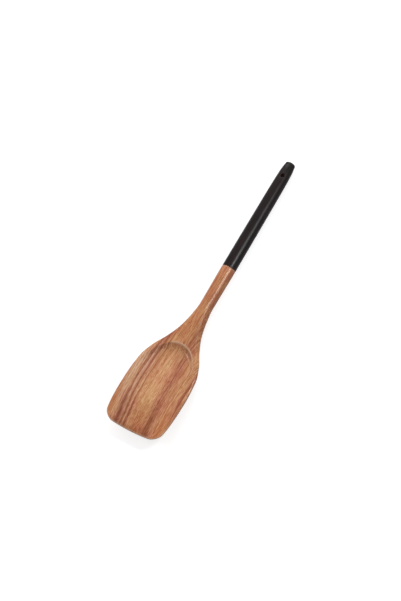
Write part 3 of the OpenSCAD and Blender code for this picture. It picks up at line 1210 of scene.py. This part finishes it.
@dataclass(frozen=True)
class BlackLacquer:
    """Thin black lacquer on a turned wooden handle.

    It gives the eye a satin black in which the wood's pores and a trace of its brown
    still show, with a browner line where the film thins out at the joint, and a duller
    end where hooks and hands rub it.
    """

    places: Places
    # Film over darker and browner wood: value of the tone's noise, colour there
    tone: Grain = Grain(30.0, 5.0, 2.0)
    film: tuple[tuple[float, str], ...] = (
        (0.3, "#150F0F"), (0.55, "#1F1415"), (0.75, "#2E181A"))
    grain: Grain = Grain(22.0, 0.7, 3.0, 0.32, 0.68, "#A09C9C", "#FFFFFF")
    pore: Grain = Grain(5.0, 0.5, 1.0)
    # Run and colour of the thinner film at the joint
    thin_run: float = 1.4
    thin: str = "#3A1C12"
    # Browner, darker and duller film round the hole: the wood's brown under a thinner film
    # with painted shade, all of it up to this far from its middle and none from there on
    hole_ring_inner: float = 1.5
    hole_ring_outer: float = 7.0
    hole_ring_share: float = 0.8
    hole_ring: str = "#180A09"
    # Bare wood inside the hole: up to this far from its middle, and film from there on
    bare_to: float = 2.3
    film_from: float = 2.5
    bare: str = "#4A2E28"
    # Run of the rubbed end
    end_run: float = 12.0
    # Roughness over dark grain, over pale grain and where it is rubbed
    rough: tuple[float, float] = (0.34, 0.26)
    rubbed_rough: float = 0.44
    gloss_level: float = 0.3
    relief: float = 0.3

    def material(self) -> bpy.types.Material:
        """Near black with browner streaks and fine pores, thinner at the joint, browner and
        darker round the hole with painted shade, and duller round the hole and at the end.

        Returns:
            The material.
        """
        material, tree = new_material("black_lacquered_wood")
        place = millimetres(tree)
        x, y, _ = add_node(tree, "SeparateXYZ", {0: place}).node.outputs
        tone = self.tone.noise(tree, place)
        grain = self.grain.noise(tree, place)
        pores = self.pore.noise(tree, place)
        film = add_node(tree, "ValToRGB", {0: tone},
                        stops=[(value, linear(code)) for value, code in self.film])
        tones = add_node(tree, "ValToRGB", {0: grain}, stops=self.grain.stops)
        joint_x, tail_x = self.places.joint_x, self.places.tail_x
        near = add_node(tree, "MapRange", {
            VALUE: x, FROM: joint_x + self.thin_run, TO: joint_x})
        flat = add_node(tree, "CombineXYZ", {0: x, 1: y})
        hole = (self.places.hole_x, 0.0, 0.0)
        away = add_node(tree, "VectorMath", {0: flat, 1: hole}, out=1,
                        operation=Op.DISTANCE)
        hole_ring = add_node(tree, "MapRange", {
            VALUE: away, FROM: self.hole_ring_outer, TO: self.hole_ring_inner})
        share = add_node(tree, "Math", {0: hole_ring, 1: self.hole_ring_share},
                         operation=Op.MULTIPLY)
        bare = add_node(tree, "MapRange", {
            VALUE: away, FROM: self.film_from, TO: self.bare_to})
        colour = layered(tree, film, (
            (1.0, tones, Tint.DARKEN),
            (near, linear(self.thin), Tint.OVER),
            # Painted shade and the wood's brown in a ring round the hole
            (share, linear(self.hole_ring), Tint.OVER),
            (bare, linear(self.bare), Tint.OVER),
        ))
        gloss = add_node(tree, "MapRange", {
            VALUE: grain, FROM: SPREAD[0], TO: SPREAD[1],
            LOW: self.rough[0], HIGH: self.rough[1]})
        end = add_node(tree, "MapRange", {VALUE: x, FROM: tail_x - self.end_run, TO: tail_x})
        rubbed = add_node(tree, "Math", {0: hole_ring, 1: end}, operation=Op.ADD, use_clamp=True)
        gloss = add_node(tree, "MapRange", {
            VALUE: rubbed, LOW: gloss, HIGH: self.rubbed_rough})
        height = add_node(tree, "Math", {0: grain, 1: pores}, operation=Op.ADD)
        normal = add_node(tree, "Bump", {
            "Strength": self.relief, "Distance": GROOVE, "Height": height})
        finish_surface(tree, {
            "Base Color": colour, "Roughness": gloss, "IOR": FINISH_IOR,
            "Specular IOR Level": self.gloss_level, "Normal": normal})
        return material


@dataclass(frozen=True)
class PlainBeech:
    """Beech dowel rod, milled and unfinished.

    It gives the eye a dull, pale pinkish tan with short brown flecks.
    """

    grain: Grain = Grain(18.0, 0.8, 2.0, 0.3, 0.7, "#CBA67C", "#DDBE96")
    fleck: Grain = Grain(2.4, 0.35, 1.0, 0.32, 0.42, "#C29A78", "#FFFFFF")
    rough: float = 0.7
    relief: float = 0.3

    def material(self) -> bpy.types.Material:
        """Pale wood with faint streaks and short dark flecks.

        Returns:
            The material.
        """
        material, tree = new_material("beech")
        place = millimetres(tree)
        grain = self.grain.noise(tree, place)
        flecks = self.fleck.noise(tree, place)
        wood = add_node(tree, "ValToRGB", {0: grain}, stops=self.grain.stops)
        tones = add_node(tree, "ValToRGB", {0: flecks}, stops=self.fleck.stops)
        colour = layered(tree, wood, ((1.0, tones, Tint.DARKEN),))
        normal = add_node(tree, "Bump", {
            "Strength": self.relief, "Distance": GROOVE, "Height": grain})
        finish_surface(tree, {
            "Base Color": colour, "Roughness": self.rough, "IOR": FINISH_IOR,
            "Normal": normal})
        return material


@dataclass(frozen=True)
class Dowel:
    """Fluted dowel in the two sockets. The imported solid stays, with a finish."""

    node: str = "joint_dowel"

    def dress(self) -> bpy.types.Object:
        """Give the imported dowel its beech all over.

        Returns:
            The dowel.
        """
        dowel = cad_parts[self.node]
        dress(dowel, PlainBeech().material())
        return dowel


@dataclass(frozen=True)
class SoftBox:
    """Rectangular lamp with a diffuser."""

    name: str
    # Where it stands: the way there from the middle of the spatula, and how far in metres
    toward: tuple[float, float, float]
    distance: float
    # Metres along the spatula and across it
    size: tuple[float, float]
    # Share of a white table's brightness that this lamp gives
    level: float

    def build(self) -> None:
        """Place the lamp and face it to the spatula. Its power is the level times
        pi^2 r^2, over the cosine at which it meets the table."""
        way = Vector(self.toward).normalized()
        length = (Vector((1, 0, 0)) - way * way.x).normalized()
        data = bpy.data.lights.new(self.name, "AREA")
        data.shape = "RECTANGLE"
        data.size, data.size_y = self.size
        data.energy = self.level * (math.pi * self.distance) ** 2 / way.z
        lamp = bpy.data.objects.new(self.name, data)
        turn = Matrix((length, way.cross(length), way)).transposed()
        lamp.matrix_world = Matrix.Translation(way * self.distance) @ turn.to_4x4()
        bpy.context.scene.collection.objects.link(lamp)


@dataclass(frozen=True)
class Studio:
    """White table, soft lamps and the camera of the photograph."""

    places: Places
    # Table: half its width in metres, its colour, and the glow that only the camera sees
    floor_half: float = 3.0
    floor_colour: str = "#CCCCCC"
    floor_rough: float = 0.9
    floor_glow: float = 0.65
    # Light that the white surroundings give
    world_level: float = 0.42
    # The main lamp lights the face from past the handle's end, the left one lifts the
    # left side, and the narrow strip draws the line of light along handle and neck
    lamps: tuple[SoftBox, ...] = (
        SoftBox("main_softbox", (1.0, 0.5, 0.56), 1.8, (0.8, 1.2), 0.23),
        SoftBox("left_softbox", (-0.3, 0.8, 0.6), 1.6, (0.6, 0.5), 0.13),
        SoftBox("side_strip", (0.295, -0.42, 0.85), 0.85, (0.10, 0.26), 0.24),
    )
    # Camera: degrees that it leans towards the tip and to the right edge, the angle of the
    # handle above the picture's level, its distance in millimetres, the picture's scale
    # at the handle's height, and the picture's width and height
    lean_to_tip: float = 17.0
    lean_to_right: float = 16.0
    handle_angle: float = 59.3
    distance: float = 2000.0
    pixels_per_mm: float = 0.9961
    picture: tuple[int, int] = (401, 601)
    # Pixel at which the middle of the spatula's axis appears
    middle_px: tuple[float, float] = (212.3, 295.1)
    # Width of its sensor in millimetres, and how far it sees in metres
    sensor: float = 36.0
    sight: float = 100.0

    def build(self) -> None:
        """Set up the table, the lamps, the surroundings and the camera."""
        self.add_floor()
        for lamp in self.lamps:
            lamp.build()
        self.add_world()
        self.add_camera()
        bpy.context.scene.view_settings.view_transform = "Standard"

    def add_floor(self) -> None:
        """Wide white table. What the camera sees of it is topped up to pure white, and
        its own light and shadows stay."""
        h = self.floor_half
        mesh = bpy.data.meshes.new("table")
        mesh.from_pydata([(-h, -h, 0), (h, -h, 0), (h, h, 0), (-h, h, 0)], [],
                         [(0, 1, 2, 3)])
        floor = bpy.data.objects.new("table", mesh)
        bpy.context.scene.collection.objects.link(floor)
        material, tree = new_material("white_table")
        seen = add_node(tree, "LightPath", out="Is Camera Ray")
        glow = add_node(tree, "Math", {0: seen, 1: self.floor_glow}, operation=Op.MULTIPLY)
        finish_surface(tree, {
            "Base Color": linear(self.floor_colour), "Roughness": self.floor_rough,
            "Specular IOR Level": 0.0, "Emission Color": linear("#FFFFFF"),
            "Emission Strength": glow})
        mesh.materials.append(material)
        floor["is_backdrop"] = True

    def add_world(self) -> None:
        """Even white surroundings. The camera sees them as pure white."""
        world = bpy.data.worlds.new("studio")
        world.use_nodes = True
        bpy.context.scene.world = world
        tree = world.node_tree
        tree.nodes.clear()
        seen = add_node(tree, "LightPath", out="Is Camera Ray")
        strength = add_node(tree, "MapRange", {
            VALUE: seen, LOW: self.world_level, HIGH: 1.0})
        light = add_node(tree, "Background", {0: linear("#FFFFFF"), 1: strength})
        output = tree.nodes.new("ShaderNodeOutputWorld")
        tree.links.new(light, output.inputs["Surface"])

    def add_camera(self) -> None:
        """Camera on a ray that leans from the vertical, rolled so that the handle points
        up to the right, and turned a little so that the spatula sits where it should."""
        tip, right = math.radians(self.lean_to_tip), math.radians(self.lean_to_right)
        back = Vector((-math.sin(tip), -math.sin(right) * math.cos(tip), 0))
        back.z = math.sqrt(1 - back.length_squared)
        up = (Vector((1, 0, 0)) - back * back.x).normalized()
        side = up.cross(back)
        roll = math.radians(self.handle_angle)
        level = up * math.cos(roll) + side * math.sin(roll)
        rise = up * math.sin(roll) - side * math.cos(roll)

        axis = Vector((0, 0, self.places.axis_h))
        eye = axis + back * self.distance
        off_x = self.middle_px[0] - (self.picture[0] - 1) / 2
        off_y = (self.picture[1] - 1) / 2 - self.middle_px[1]
        aim = axis - (level * off_x + rise * off_y) / self.pixels_per_mm
        look = (eye - aim).normalized()
        across = (level - look * level.dot(look)).normalized()
        turn = Matrix((across, look.cross(across), look)).transposed()

        data = bpy.data.cameras.new("camera")
        data.sensor_width = self.sensor
        focal = self.pixels_per_mm * self.distance
        data.lens = focal / max(self.picture) * self.sensor
        data.clip_end = self.sight
        camera = bpy.data.objects.new("camera", data)
        camera.matrix_world = Matrix.Translation(eye * MM) @ turn.to_4x4()
        bpy.context.scene.collection.objects.link(camera)
        bpy.context.scene.camera = camera


def dress(piece: bpy.types.Object, material: bpy.types.Material) -> None:
    """Give a piece one finish all over."""
    piece.data.materials.clear()
    piece.data.materials.append(material)


def corners(box: tuple[Vector, Vector]) -> list[list[float]]:
    """Lowest and highest corner of a box as plain lists."""
    return [list(corner) for corner in box]


def main() -> None:
    """Build the pieces in order, dress them and set up the studio."""
    logging.basicConfig(level=logging.INFO)
    places = Places.from_frame()

    carver = Head(places)
    head = carver.build()
    carver.dress(head)
    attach(head, BODY)
    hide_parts("spatula_head")
    LOG.info("head: %d points", len(head.data.vertices))

    turner = Handle(places)
    handle = turner.build()
    turner.dress(handle)
    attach(handle, BODY)
    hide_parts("handle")
    LOG.info("handle: %d points", len(handle.data.vertices))

    dowel = Dowel().dress()
    LOG.info("dowel: %d points", len(dowel.data.vertices))

    Studio(places).build()
    sizes = {"cad": corners(CAD_BOX), "visual": corners(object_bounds())}


if __name__ == "__main__":
    main()
